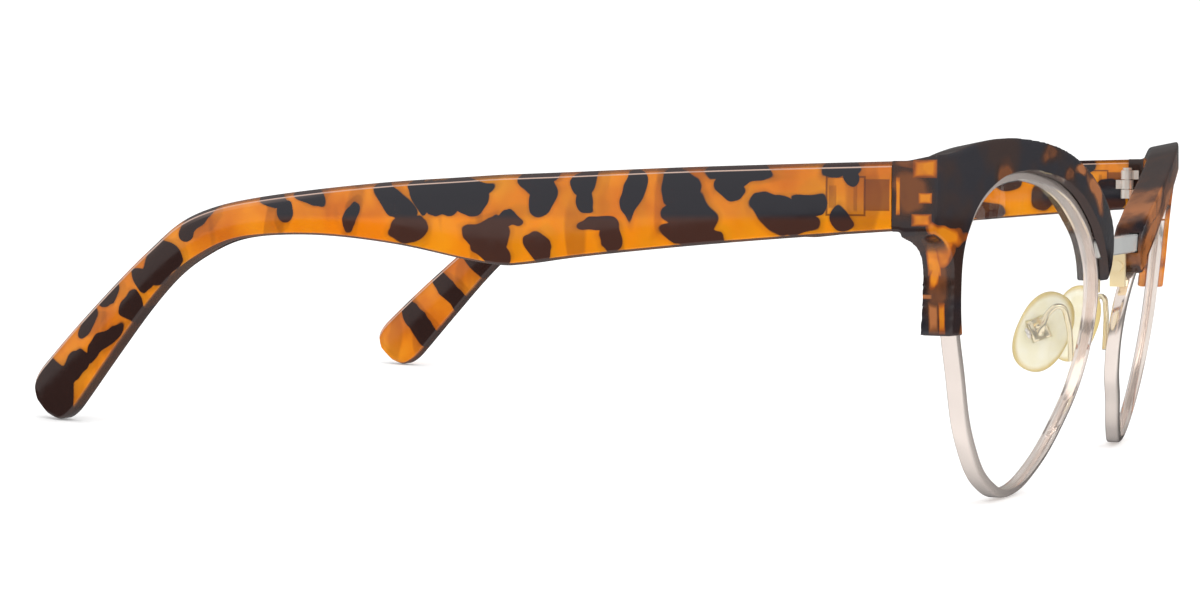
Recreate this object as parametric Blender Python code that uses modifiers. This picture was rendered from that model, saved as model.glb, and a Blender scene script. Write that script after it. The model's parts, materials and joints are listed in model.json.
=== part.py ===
"""Half rim (browline) eyeglasses: tortoiseshell acetate brows and temples on metal rims.

The wearer's right is -X, the front faces -Y, the temples run back along +Y and Z is up.
Every piece is modelled once, for the left side, in millimetres: u is the distance from the
mid plane, y the depth and z the height.  place() then puts it on both sides, in metres.
"""
import math

import bmesh
import bpy
from mathutils import Matrix, Vector

MM = 0.001
CURVE_STEPS = 4

# Whole frame: the model's origin is under the middle of its bounding box.
DATUM_Y = -72.58
DATUM_Z = 42.205

# Lens plane: a base curve of radius BASE_CURVE, turned by WRAP and leaned by TILT.
LENS_U = 37.2
LENS_Z = -20.2
LENS_Y = 0.6
WRAP = math.radians(7.5)
TILT = math.radians(8.8)
BASE_CURVE = 132.0

# Metal rim
RIM_WIDTH = 1.1
RIM_DEPTH = 2.0
RIM_CHAMFER = 0.3
GROOVE = 0.65
SPLIT_Z = -7.9
SPLIT_GAP = 0.3

# Acetate
FIT_GAP = 0.15
SOLDER_GAP = 0.03
BROW_REAR = 3.5
BROW_THINNING = 0.4
BROW_OVERLAP = 0.3
BROW_EDGE = 0.6
BROW_SLOPE = 0.2
DROP_BOTTOM = -19.1

# Rim lock: its screw stands at (LOCK_U, LOCK_Y)
LOCK_U = 62.75
LOCK_Y = 6.3
LOCK_HALF = 0.95
LOCK_HIGH = 2.0
LOCK_SCREW_R = 0.6

# Bridge bar and the lug that holds the brow's nasal end
BRIDGE_Y = (-1.9, -0.7)
BRIDGE_Z = (-11.3, -8.7)
LUG_U = (7.9, 8.7)
LUG_Y = (-0.4, 1.8)
LUG_Z = (-16.4, -11.6)
LUG_SCREW_Y = 0.7
LUG_SCREW_Z = -13.4
LUG_SCREW_R = 0.5

# Hinge and temple
BUTT_Y = 11.15
BUTT_GAP = 0.1
OUTER_U = 68.2
INNER_U = 64.0
TOE_IN = math.radians(6.08)
TIP_Y = 148.5
TEMPLE_THICK = 4.2
TIP_THICK = 3.2
HINGE_U = 62.9
HINGE_Y = BUTT_Y + BUTT_GAP / 2
HINGE_Z = -2.1
LEAF_HALF = 2.3
KNUCKLE_R = 1.05
KNUCKLE_H = 1.5
KNUCKLE_GAP = 0.1
PIN_R = 0.45
RIVET_Z = (HINGE_Z + 1.3, HINGE_Z - 1.3)
RIVET_Y = 7.0
RIVET_R = 0.5

# Nose pad: the screw axis, the pad's medial normal and the screw's middle
PAD_POINT = Vector((11.3, 7.4, -21.6))
PAD_AXIS = Vector((0.28, 0.88, -0.36)).normalized()
PAD_NORMAL = Vector((-0.94, 0.30, 0.0))
PAD_LENGTH = 11.8
PAD_WIDTH = 7.4
PAD_THICK = 1.7
PAD_SLANT = math.radians(45)
PAD_OFFSET = Vector((-0.5, 0.7, 1.9))
CUP_HALF = Vector((1.3, 1.5, 0.9))
ARM_R = 0.42
PAD_SCREW_R = 0.45


def front_y(u, z):
    """Depth of the rim's front edge on the wrapped, leaning, base-curved lens plane."""
    du = u - LENS_U
    dz = z - LENS_Z
    return LENS_Y + math.tan(WRAP) * du - math.tan(TILT) * dz + (du * du + dz * dz) / (2 * BASE_CURVE)


def brow_lip(u):
    """How far the brow's front face stands ahead of the rim: more towards the nose."""
    return 1.0 + 0.3 * min(max((61.0 - u) / 50.0, 0.0), 1.0)


# ---------------------------------------------------------------- modelling helpers

def link(obj):
    workshop.objects.link(obj)
    return obj


def mesh_object(name, bm):
    bmesh.ops.recalc_face_normals(bm, faces=bm.faces)
    mesh = bpy.data.meshes.new(name)
    bm.to_mesh(mesh)
    bm.free()
    return link(bpy.data.objects.new(name, mesh))


def evaluated_mesh(obj):
    bpy.context.view_layer.update()
    graph = bpy.context.evaluated_depsgraph_get()
    return bpy.data.meshes.new_from_object(obj.evaluated_get(graph), depsgraph=graph)


def as_mesh(obj, weld=0.0001):
    """The curve or modified object as a plain welded mesh object; the original is removed."""
    mesh = evaluated_mesh(obj)
    mesh.transform(obj.matrix_world)
    bm = bmesh.new()
    bm.from_mesh(mesh)
    bmesh.ops.remove_doubles(bm, verts=bm.verts, dist=weld)
    name = obj.name
    bpy.data.objects.remove(obj)
    bpy.data.meshes.remove(mesh)
    return mesh_object(name, bm)


def bezier(name, points):
    """A 2D curve through (a, b) points; a third item marks a sharp corner."""
    data = bpy.data.curves.new(name, "CURVE")
    data.dimensions = "2D"
    data.resolution_u = CURVE_STEPS
    spline = data.splines.new("BEZIER")
    spline.bezier_points.add(len(points) - 1)
    spline.use_cyclic_u = True
    for knot, point in zip(spline.bezier_points, points):
        knot.co = (point[0], point[1], 0)
        handle = "VECTOR" if len(point) > 2 else "AUTO"
        knot.handle_left_type = handle
        knot.handle_right_type = handle
    return link(bpy.data.objects.new(name, data))


def slab(name, points, half, offset=0.0):
    """A filled outline extruded by half to each side of its plane."""
    obj = bezier(name, points)
    obj.data.fill_mode = "BOTH"
    obj.data.extrude = half
    obj.data.offset = offset
    return as_mesh(obj)


def stand_up(obj):
    """Turns an outline drawn as (u, z) from the XY plane to the front plane."""
    obj.data.transform(Matrix.Rotation(math.radians(90), 4, "X"))
    return obj


def reshape(obj, rule):
    """Moves each vertex of the mesh to rule(position)."""
    for vertex in obj.data.vertices:
        vertex.co = rule(vertex.co)
    return obj


def box(name, low, high):
    bm = bmesh.new()
    bmesh.ops.create_cube(bm, size=1.0)
    low = Vector(low)
    size = Vector(high) - low
    for vertex in bm.verts:
        vertex.co = [low[i] + (vertex.co[i] + 0.5) * size[i] for i in range(3)]
    return mesh_object(name, bm)


def cylinder(name, start, end, radius, sides=12):
    start = Vector(start)
    end = Vector(end)
    bm = bmesh.new()
    bmesh.ops.create_cone(bm, cap_ends=True, segments=sides, radius1=radius, radius2=radius,
                          depth=(end - start).length)
    turn = (end - start).to_track_quat("Z", "Y").to_matrix().to_4x4()
    bmesh.ops.transform(bm, matrix=Matrix.Translation((start + end) / 2) @ turn, verts=bm.verts)
    return mesh_object(name, bm)


def boolean(obj, other, operation):
    modifier = obj.modifiers.new(other.name, "BOOLEAN")
    modifier.operation = operation
    modifier.solver = "MANIFOLD"
    modifier.object = other
    return obj


def cut(obj, *cutters):
    for cutter in cutters:
        boolean(obj, cutter, "DIFFERENCE")
    return obj


def join(obj, *others):
    for other in others:
        boolean(obj, other, "UNION")
    return obj


def round_edges(obj, width, segments=1, angle=40):
    bevel = obj.modifiers.new("edges", "BEVEL")
    bevel.width = width
    bevel.segments = segments
    bevel.limit_method = "ANGLE"
    bevel.angle_limit = math.radians(angle)
    return obj


# ---------------------------------------------------------------- outlines, drawn as (u, z)

RIM_OUTLINE = (
    (61.8, -12.9), (60.5, -5.9), (55.9, -1.0), (48.9, 0.8), (41.5, 0.4), (34.3, -1.0),
    (26.0, -4.2), (17.3, -9.2), (11.2, -14.9), (9.1, -21.5), (11.2, -28.3), (17.2, -34.3),
    (24.7, -39.6), (33.0, -42.2), (41.8, -40.5), (50.6, -34.6), (57.2, -25.4))

BROW_OUTLINE = (
    (62.8, DROP_BOTTOM, 1), (63.4, -14.0), (64.1, -10.2), (65.6, -7.9), (OUTER_U - 0.1, -6.5, 1),
    (OUTER_U - 0.1, 2.9, 1), (64.5, 3.2), (61.3, 4.0), (57.3, 4.7), (52.0, 5.0), (46.5, 4.8),
    (40.5, 4.2), (34.8, 3.2), (29.7, 1.8), (23.5, -0.4), (18.3, -2.6), (13.5, -5.2), (10.3, -7.8),
    (9.1, -10.0), (9.2, -12.4), (10.9, -14.2), (13.4, -15.0, 1), (24.0, -8.0), (40.0, -4.0),
    (53.5, -4.5), (57.0, -10.0), (56.0, DROP_BOTTOM, 1))

# Temple, drawn as (y, z)
TEMPLE_OUTLINE = (
    (BUTT_Y + BUTT_GAP, 2.1, 1), (40.0, 1.3), (66.0, 0.3), (90.0, -1.3), (107.0, -3.1),
    (117.0, -5.2), (125.0, -9.7), (137.0, -19.3), (147.0, -28.4), (TIP_Y, -31.0),
    (148.2, -32.7, 1), (145.4, -35.5, 1), (143.4, -36.1), (141.2, -35.0), (138.7, -32.2),
    (132.5, -25.1), (125.5, -17.5), (118.0, -12.0), (109.0, -8.7), (98.0, -8.2), (84.0, -9.1),
    (72.0, -11.0), (66.2, -11.6), (60.0, -11.1), (40.0, -8.7), (BUTT_Y + BUTT_GAP, -6.3, 1))


def outline_loop(points):
    """The smooth closed outline as a list of (u, z) vectors."""
    obj = bezier("loop", points)
    mesh = evaluated_mesh(obj)
    loop = [Vector(vertex.co[:2]) for vertex in mesh.vertices]
    bpy.data.objects.remove(obj)
    bpy.data.meshes.remove(mesh)
    return loop


def inset(loop, distance):
    """The closed loop moved inwards along its normals."""
    centre = sum(loop, Vector((0, 0))) / len(loop)
    moved = []
    for i, point in enumerate(loop):
        along = (loop[(i + 1) % len(loop)] - loop[i - 1]).normalized()
        normal = Vector((-along.y, along.x))
        if normal.dot(centre - point) < 0:
            normal = -normal
        moved.append(point + normal * distance)
    return moved


def skin_rings(name, rings):
    """Skins closed rings of (u, y, z) points into a closed ring-shaped solid."""
    bm = bmesh.new()
    made = [[bm.verts.new(point) for point in ring] for ring in rings]
    count = len(rings[0])
    for ring, following in zip(made, made[1:] + made[:1]):
        for i in range(count):
            j = (i + 1) % count
            bm.faces.new((ring[i], ring[j], following[j], following[i]))
    return mesh_object(name, bm)


def on_lens_plane(points, depth):
    return [(p.x, front_y(p.x, p.y) + depth, p.y) for p in points]


def ring_sweep(name, loop, section):
    """Sweeps (inset, depth) section points round the rim loop, on the lens plane."""
    return skin_rings(name, [on_lens_plane(inset(loop, inwards), depth) for inwards, depth in section])


# ---------------------------------------------------------------- cutters

def rim_plug(name, grow):
    """A prism through the rim's outline, grown by a gap: what the rim and lens take up."""
    return stand_up(slab(name, RIM_OUTLINE, 30.0, offset=grow))


def rim_jacket(name, loop, gap):
    """The rim's square section with a gap all round: the room for the rim in a neighbour."""
    rear = RIM_DEPTH + gap
    inner = RIM_WIDTH + gap
    return ring_sweep(name, loop, ((-gap, -gap), (inner, -gap), (inner, rear), (-gap, rear)))


def opening_bevel(loop):
    """The bevel round the opening's front edge, widest at its outer upper corner."""
    outward = inset(loop, -1.0)
    edge = []
    for point, outer in zip(loop, outward):
        reach = (point - Vector((60.5, -5.0))).length_squared
        edge.append(point.lerp(outer, 0.25 + 0.9 * math.exp(-reach / 40.0)))
    hub = inset(loop, 4.0)
    rings = [on_lens_plane(edge, -1.6), on_lens_plane(hub, -1.6), on_lens_plane(hub, 0.0),
             on_lens_plane(inset(loop, BROW_OVERLAP - 0.05), 0.0)]
    return skin_rings("opening_bevel", rings)


# ---------------------------------------------------------------- rims and lenses

def make_rim(loop):
    half = RIM_DEPTH / 2
    section = (
        (0.0, RIM_CHAMFER), (RIM_CHAMFER, 0.0), (RIM_WIDTH, 0.0), (RIM_WIDTH, half - GROOVE),
        (RIM_WIDTH - GROOVE, half), (RIM_WIDTH, half + GROOVE), (RIM_WIDTH, RIM_DEPTH),
        (RIM_CHAMFER, RIM_DEPTH), (0.0, RIM_DEPTH - RIM_CHAMFER))
    rim = ring_sweep("rim", loop, section)
    split = box("rim_split", (56, 0, SPLIT_Z - SPLIT_GAP / 2), (66, 12, SPLIT_Z + SPLIT_GAP / 2))
    return cut(rim, split)


def make_lens(loop):
    """A thin curved lens whose V-shaped edge sits in the rim's groove."""
    half = RIM_DEPTH / 2
    edge = RIM_WIDTH + 0.2
    face = half - 0.7
    apex = RIM_WIDTH - GROOVE + 0.15
    centre = Vector((LENS_U - 2.0, LENS_Z))
    full = inset(loop, edge)
    rings = [([centre.lerp(p, share) for p in full], face) for share in (0.5, 1.0)]
    rings.append((inset(loop, apex), half))
    rings.extend((points, RIM_DEPTH - face) for points, depth in reversed(rings[:2]))
    bm = bmesh.new()
    loops = [[bm.verts.new((p.x, front_y(p.x, p.y) + depth, p.y)) for p in points]
             for points, depth in rings]
    count = len(loop)
    for ring, following in zip(loops, loops[1:]):
        for i in range(count):
            j = (i + 1) % count
            bm.faces.new((ring[i], ring[j], following[j], following[i]))
    for ring, depth in ((loops[0], face), (loops[-1], RIM_DEPTH - face)):
        hub = bm.verts.new((centre.x, front_y(*centre) + depth, centre.y))
        for i in range(count):
            bm.faces.new((ring[i], ring[(i + 1) % count], hub))
    return mesh_object("lens", bm)


def make_rim_lock(plug):
    """The two blocks and the screw that close the split rim, hidden in the brow's rear."""
    centre = (LOCK_U, LOCK_Y)
    top = SPLIT_Z + LOCK_HIGH
    bottom = SPLIT_Z - LOCK_HIGH
    pieces = {}
    for name, low, high in (("rim_block_upper", SPLIT_Z + SPLIT_GAP / 2, top),
                            ("rim_block_lower", bottom, SPLIT_Z - SPLIT_GAP / 2)):
        block = box(name, (60.4, LOCK_Y - LOCK_HALF, low), (LOCK_U + LOCK_HALF, LOCK_Y + LOCK_HALF, high))
        bore = cylinder(name + "_bore", (*centre, low - 1), (*centre, high + 1), LOCK_SCREW_R + 0.05)
        pieces[name] = cut(block, plug, bore)
    shank = cylinder("rim_screw", (*centre, bottom + 0.1), (*centre, top + 0.2), LOCK_SCREW_R)
    head = cylinder("rim_screw_head", (*centre, top + 0.03), (*centre, top + 0.6), 0.95)
    pieces["rim_screw"] = join(shank, head)
    room = LOCK_HALF + 0.2
    pocket = box("rim_lock_pocket", (59.0, LOCK_Y - room, bottom - 0.3), (LOCK_U + room, 12.0, top + 0.9))
    return pieces, pocket


# ---------------------------------------------------------------- bridge and its lugs

def make_bridge(plug):
    """A flat bar between the rims; a half, mirrored at the mid plane."""
    bar = box("bridge_bar", (-1, BRIDGE_Y[0], BRIDGE_Z[0]), (17.5, BRIDGE_Y[1], BRIDGE_Z[1]))
    bar = as_mesh(round_edges(bar, 0.2))
    cut(bar, plug)
    mirror = bar.modifiers.new("both_sides", "MIRROR")
    mirror.use_bisect_axis[0] = True
    mirror.use_clip = True
    slot = box("bridge_slot", (0, BRIDGE_Y[0] - FIT_GAP, BRIDGE_Z[0] - FIT_GAP),
               (18.5, BRIDGE_Y[1] + FIT_GAP, BRIDGE_Z[1] + FIT_GAP))
    return bar, slot


def make_brow_lug(plug):
    """The plate under the bridge that holds the brow's nasal end, and its screw."""
    def rod(name, start, end, radius):
        return cylinder(name, (start, LUG_SCREW_Y, LUG_SCREW_Z), (end, LUG_SCREW_Y, LUG_SCREW_Z), radius)

    plate = box("brow_lug", (LUG_U[0], LUG_Y[0], LUG_Z[0]), (LUG_U[1], LUG_Y[1], LUG_Z[1]))
    foot = box("brow_lug_foot", (LUG_U[0] + 0.4, LUG_Y[0] + 0.1, LUG_Z[0]), (11.8, 1.0, LUG_Z[0] + 0.9))
    cut(join(plate, foot), plug, rod("brow_lug_eye", LUG_U[0] - 1, LUG_U[1] + 1, LUG_SCREW_R + 0.05))
    shank = rod("brow_screw", LUG_U[0] - 0.3, 11.3, LUG_SCREW_R)
    head = rod("brow_screw_head", LUG_U[0] - 0.6, LUG_U[0] - 0.03, 0.85)
    bore = rod("brow_screw_bore", 6.0, 11.45, LUG_SCREW_R + FIT_GAP)
    return plate, join(shank, head), bore


# ---------------------------------------------------------------- brow

def make_brow(loop, pockets):
    """The acetate brow: it follows the lens plane, thins downwards, and its top slopes rearwards."""
    def on_front(co):
        if co.y < 0:
            return Vector((co.x, front_y(co.x, co.z) - brow_lip(co.x), co.z))
        top_share = min(max((co.z + 9.0) / 4.0, 0.0), 1.0)
        rear = BROW_REAR - BROW_THINNING * (1.0 - top_share)
        drop = BROW_SLOPE * (rear + brow_lip(co.x)) * top_share
        return Vector((co.x, front_y(co.x, co.z) + rear, co.z - drop))

    plate = reshape(stand_up(slab("brow", BROW_OUTLINE, 1.0)), on_front)
    plate = as_mesh(round_edges(plate, BROW_EDGE, segments=2), weld=0.005)
    end = box("end_piece", (63.6, 7.0, -6.35), (OUTER_U, BUTT_Y, 2.15))
    end = as_mesh(round_edges(end, 0.4))
    opening = stand_up(slab("opening", RIM_OUTLINE, 30.0, offset=-BROW_OVERLAP))
    groove = rim_jacket("rim_groove", loop, FIT_GAP)
    body = as_mesh(join(plate, end))
    for cutter in (opening, opening_bevel(loop), groove, *pockets):
        body = as_mesh(cut(body, cutter))
    return body


# ---------------------------------------------------------------- temple and hinge

def temple_outer(y):
    return OUTER_U - (y - BUTT_Y) * math.tan(TOE_IN)


def temple_thickness(y):
    return TEMPLE_THICK - (TEMPLE_THICK - TIP_THICK) * (y - BUTT_Y) / (TIP_Y - BUTT_Y)


def make_temple(pockets):
    def on_side(co):
        y = co.x
        inwards = 0.0 if co.z > 0 else temple_thickness(y)
        return Vector((temple_outer(y) - inwards, y, co.y))

    temple = reshape(slab("temple", TEMPLE_OUTLINE, 1.0), on_side)
    temple = as_mesh(round_edges(temple, 0.7, segments=2))
    return cut(temple, *pockets)


def knuckle(name, low, high):
    return cylinder(name, (HINGE_U, HINGE_Y, low), (HINGE_U, HINGE_Y, high), KNUCKLE_R, sides=16)


def on_hinge(height):
    return (HINGE_U, HINGE_Y, HINGE_Z + height)


def make_hinge():
    """Three-knuckle hinge: sunk leaves, a pin screw, and two rivets through the front leaf."""
    half = KNUCKLE_H / 2
    step = KNUCKLE_H + KNUCKLE_GAP
    end = step + half
    bore = cylinder("pin_bore", on_hinge(-5), on_hinge(5), PIN_R + 0.05)
    low = HINGE_Z - LEAF_HALF
    high = HINGE_Z + LEAF_HALF
    to_pivot = Matrix.Translation((HINGE_U, HINGE_Y, 0))
    along_temple = to_pivot @ Matrix.Rotation(TOE_IN, 4, "Z") @ to_pivot.inverted()

    temple_leaf = box("hinge_temple", (INNER_U - 0.4, 13.4, low), (INNER_U + 0.6, 19.8, high))
    temple_leaf.data.transform(along_temple)
    web = box("hinge_temple_web", on_hinge(-half), (INNER_U + 0.15, 14.4, HINGE_Z + half))
    middle = knuckle("hinge_temple_knuckle", HINGE_Z - half, HINGE_Z + half)
    cut(join(temple_leaf, web, middle), bore)

    front_leaf = box("hinge_front", (INNER_U - 0.2, 5.9, low), (INNER_U + 0.8, 9.9, high))
    for tag, height in (("upper", step), ("lower", -step)):
        bottom = HINGE_Z + height - half
        top = HINGE_Z + height + half
        web = box("hinge_front_web_" + tag, (HINGE_U, 8.8, bottom), (INNER_U + 0.1, HINGE_Y, top))
        join(front_leaf, web, knuckle("hinge_front_knuckle_" + tag, bottom, top))

    rivets = {}
    rivet_bores = []
    for tag, z in zip(("upper", "lower"), RIVET_Z):
        def rod(name, start, stop, radius):
            return cylinder(name, (start, RIVET_Y, z), (stop, RIVET_Y, z), radius)

        cut(front_leaf, rod("rivet_hole", 60, INNER_U + 2, RIVET_R + 0.05))
        rivet = rod("hinge_rivet_" + tag, INNER_U - 0.4, INNER_U + 2.8, RIVET_R)
        head = rod("rivet_head", INNER_U - 0.55, INNER_U - 0.23, 0.8)
        rivets["hinge_rivet_" + tag] = join(rivet, head)
        rivet_bores.append(rod("rivet_bore", 60, INNER_U + 2.95, RIVET_R + FIT_GAP))
    cut(front_leaf, bore)

    screw = cylinder("hinge_screw", on_hinge(-end), on_hinge(end + 0.2), PIN_R)
    head = cylinder("hinge_screw_head", on_hinge(end + 0.05), on_hinge(end + 0.45), 0.8)
    join(screw, head)

    front_pocket = box("front_leaf_pocket", (58, 5.9 - FIT_GAP, low - FIT_GAP),
                       (INNER_U + 0.8 + FIT_GAP, 12, high + FIT_GAP))
    temple_pocket = box("temple_leaf_pocket", (INNER_U - 4, BUTT_Y - 2, low - FIT_GAP),
                        (INNER_U + 0.6 + FIT_GAP, 19.8 + FIT_GAP, high + FIT_GAP))
    temple_pocket.data.transform(along_temple)
    pieces = {"hinge_front": front_leaf, "hinge_temple": temple_leaf, "hinge_screw": screw, **rivets}
    return pieces, [front_pocket, *rivet_bores], [temple_pocket]


# ---------------------------------------------------------------- nose pad

def pad_frame():
    """Axes of the pad: along the screw, across it in the pad's plane, and towards the nose."""
    normal = (PAD_NORMAL - PAD_AXIS * PAD_NORMAL.dot(PAD_AXIS)).normalized()
    across = normal.cross(PAD_AXIS)
    frame = Matrix((PAD_AXIS, across, normal)).transposed().to_4x4()
    return Matrix.Translation(PAD_POINT) @ frame


def make_pad():
    """The silicone pad, the cup moulded into its back, and the screw across the cup."""
    frame = pad_frame()
    pad = cylinder("nose_pad", (0, 0, -PAD_THICK / 2), (0, 0, PAD_THICK / 2), 0.5, sides=32)
    pad.data.transform(Matrix.Diagonal((PAD_LENGTH, PAD_WIDTH, 1, 1)))
    pad = as_mesh(round_edges(pad, 0.55, segments=2))
    pad.data.transform(frame @ Matrix.Translation(PAD_OFFSET) @ Matrix.Rotation(PAD_SLANT, 4, "Z"))

    depth = PAD_OFFSET.z - PAD_THICK / 2 + 0.45
    gap = Vector((FIT_GAP, FIT_GAP, FIT_GAP))
    cup_high = Vector((CUP_HALF.x, CUP_HALF.y, depth))
    cup = box("pad_insert", -CUP_HALF, cup_high)
    slot = box("pad_insert_slot", (-0.55, -2, -2), (0.55, 2, 1.0))
    bore = cylinder("pad_insert_bore", (-3, 0, 0), (3, 0, 0), PAD_SCREW_R + 0.05)
    seat = box("pad_seat", -CUP_HALF - gap, cup_high + gap)
    screw = cylinder("pad_screw", (-1.25, 0, 0), (1.6, 0, 0), PAD_SCREW_R)
    head = cylinder("pad_screw_head", (1.35, 0, 0), (1.9, 0, 0), 0.8)
    for tool in (cup, slot, bore, seat, screw, head):
        tool.data.transform(frame)
    cut(pad, seat)
    cut(cup, slot, bore)
    join(screw, head)
    return {"nose_pad": pad, "pad_insert": cup, "pad_screw": screw}


def make_pad_arm(jacket):
    """The bent wire from the rim to the pad, ending in an eye on the pad's screw."""
    frame = pad_frame()
    entry = [frame @ Vector((0, 0.3, -depth)) for depth in (2.6, 1.5, 0.7)]
    path = (Vector((10.6, 3.0, -25.9)), Vector((11.2, 3.0, -22.9)), Vector((12.0, 3.2, -20.2)),
            Vector((13.1, 4.0, -18.2)), Vector((13.7, 5.4, -19.0)), *entry)
    data = bpy.data.curves.new("pad_arm", "CURVE")
    data.dimensions = "3D"
    data.resolution_u = CURVE_STEPS
    data.bevel_depth = ARM_R
    data.bevel_resolution = 2
    data.use_fill_caps = True
    spline = data.splines.new("BEZIER")
    spline.bezier_points.add(len(path) - 1)
    for knot, point in zip(spline.bezier_points, path):
        knot.co = point
        knot.handle_left_type = "AUTO"
        knot.handle_right_type = "AUTO"
    wire = as_mesh(link(bpy.data.objects.new("pad_arm", data)))
    eye = cylinder("pad_arm_eye", (-0.4, 0, 0), (0.4, 0, 0), 0.85)
    hole = cylinder("pad_arm_hole", (-2, 0, 0), (2, 0, 0), PAD_SCREW_R + 0.05)
    for tool in (eye, hole):
        tool.data.transform(frame)
    return cut(join(wire, eye), jacket, hole)


# ---------------------------------------------------------------- placing and materials

def material(name, colour, roughness, metallic=0.0, transmission=0.0):
    made = bpy.data.materials.new(name)
    made.use_nodes = True
    shader = made.node_tree.nodes["Principled BSDF"]
    shader.inputs["Base Color"].default_value = (*colour, 1)
    shader.inputs["Roughness"].default_value = roughness
    shader.inputs["Metallic"].default_value = metallic
    shader.inputs["Transmission Weight"].default_value = transmission
    made.diffuse_color = (*colour, 1)
    return made


def pivot_empty(name, point, side):
    empty = bpy.data.objects.new(name, None)
    empty.empty_display_size = 0.005
    empty.location = Vector((side * point.x, point.y + DATUM_Y, point.z + DATUM_Z)) * MM
    product.objects.link(empty)
    return empty


def place(piece, name, finish, side=1, pivot=None):
    """Puts a finished copy of the workshop piece on one side of the frame, in metres."""
    mesh = evaluated_mesh(piece)
    mesh.name = name
    mesh.transform(Matrix.Translation((0, DATUM_Y, DATUM_Z)))
    mesh.transform(Matrix.Diagonal((side * MM, MM, MM, 1)))
    if side < 0:
        mesh.flip_normals()
    if pivot:
        mesh.transform(Matrix.Translation(-pivot.location))
    mesh.materials.clear()
    mesh.materials.append(finish)
    mesh.shade_smooth()
    mesh.set_sharp_from_angle(angle=math.radians(30))
    obj = bpy.data.objects.new(name, mesh)
    obj.parent = pivot
    product.objects.link(obj)


for old in list(bpy.data.objects):
    bpy.data.objects.remove(old)

product = bpy.data.collections.new("half_rim_eyeglasses")
workshop = bpy.data.collections.new("workshop")
for collection in (product, workshop):
    bpy.context.scene.collection.children.link(collection)

acetate = material("tortoiseshell_acetate", (0.42, 0.17, 0.03), 0.12, transmission=0.4)
rim_metal = material("champagne_metal", (0.80, 0.68, 0.60), 0.25, metallic=1.0)
silver = material("silver_metal", (0.75, 0.77, 0.75), 0.3, metallic=1.0)
gold = material("gold_metal", (0.85, 0.68, 0.35), 0.25, metallic=1.0)
steel = material("screw_steel", (0.55, 0.55, 0.56), 0.3, metallic=1.0)
clear = material("lens_clear", (0.97, 0.98, 0.98), 0.03, transmission=1.0)
silicone = material("pad_silicone", (0.93, 0.88, 0.68), 0.25, transmission=0.5)

rim_loop = outline_loop(RIM_OUTLINE)
solder_plug = rim_plug("solder_plug", SOLDER_GAP)
lock_pieces, lock_pocket = make_rim_lock(solder_plug)
bridge, bridge_slot = make_bridge(solder_plug)
lug, lug_screw, lug_bore = make_brow_lug(solder_plug)
hinge_pieces, front_pockets, temple_pockets = make_hinge()
brow = make_brow(rim_loop, [lock_pocket, bridge_slot, lug_bore, *front_pockets])
temple = make_temple(temple_pockets)
pad_pieces = make_pad()

fixed = {
    "brow": (brow, acetate),
    "rim": (make_rim(rim_loop), rim_metal),
    "lens": (make_lens(rim_loop), clear),
    "pad_arm": (make_pad_arm(rim_jacket("solder_jacket", rim_loop, SOLDER_GAP)), gold),
    "brow_lug": (lug, gold),
    "brow_screw": (lug_screw, steel),
    "hinge_front": (hinge_pieces["hinge_front"], steel),
    "hinge_screw": (hinge_pieces["hinge_screw"], steel),
    "hinge_rivet_upper": (hinge_pieces["hinge_rivet_upper"], steel),
    "hinge_rivet_lower": (hinge_pieces["hinge_rivet_lower"], steel),
    "rim_block_upper": (lock_pieces["rim_block_upper"], rim_metal),
    "rim_block_lower": (lock_pieces["rim_block_lower"], rim_metal),
    "rim_screw": (lock_pieces["rim_screw"], steel),
}
folding = {"temple": (temple, acetate), "hinge_temple": (hinge_pieces["hinge_temple"], steel)}
rocking = {
    "nose_pad": (pad_pieces["nose_pad"], silicone),
    "pad_insert": (pad_pieces["pad_insert"], gold),
    "pad_screw": (pad_pieces["pad_screw"], steel),
}

place(bridge, "bridge", silver)
for side, side_name in ((-1, "right"), (1, "left")):
    hinge_pivot = pivot_empty("temple_axis_" + side_name, Vector((HINGE_U, HINGE_Y, HINGE_Z)), side)
    pad_pivot = pivot_empty("pad_axis_" + side_name, PAD_POINT, side)
    for group, pivot in ((fixed, None), (folding, hinge_pivot), (rocking, pad_pivot)):
        for piece_name, (piece, finish) in group.items():
            place(piece, piece_name + "_" + side_name, finish, side, pivot)

for tool in list(workshop.objects):
    bpy.data.objects.remove(tool)
bpy.data.collections.remove(workshop)
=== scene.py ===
"""Looks of the half rim (browline) eyeglasses.

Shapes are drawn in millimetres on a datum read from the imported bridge: u is the distance from
the mid plane, y the depth and z the height.  Each piece is modelled for the left side and then
placed on both sides, in metres, riding on its CAD body.
"""

import json
import math

import bmesh
import bpy
from mathutils import Matrix, Vector

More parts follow.
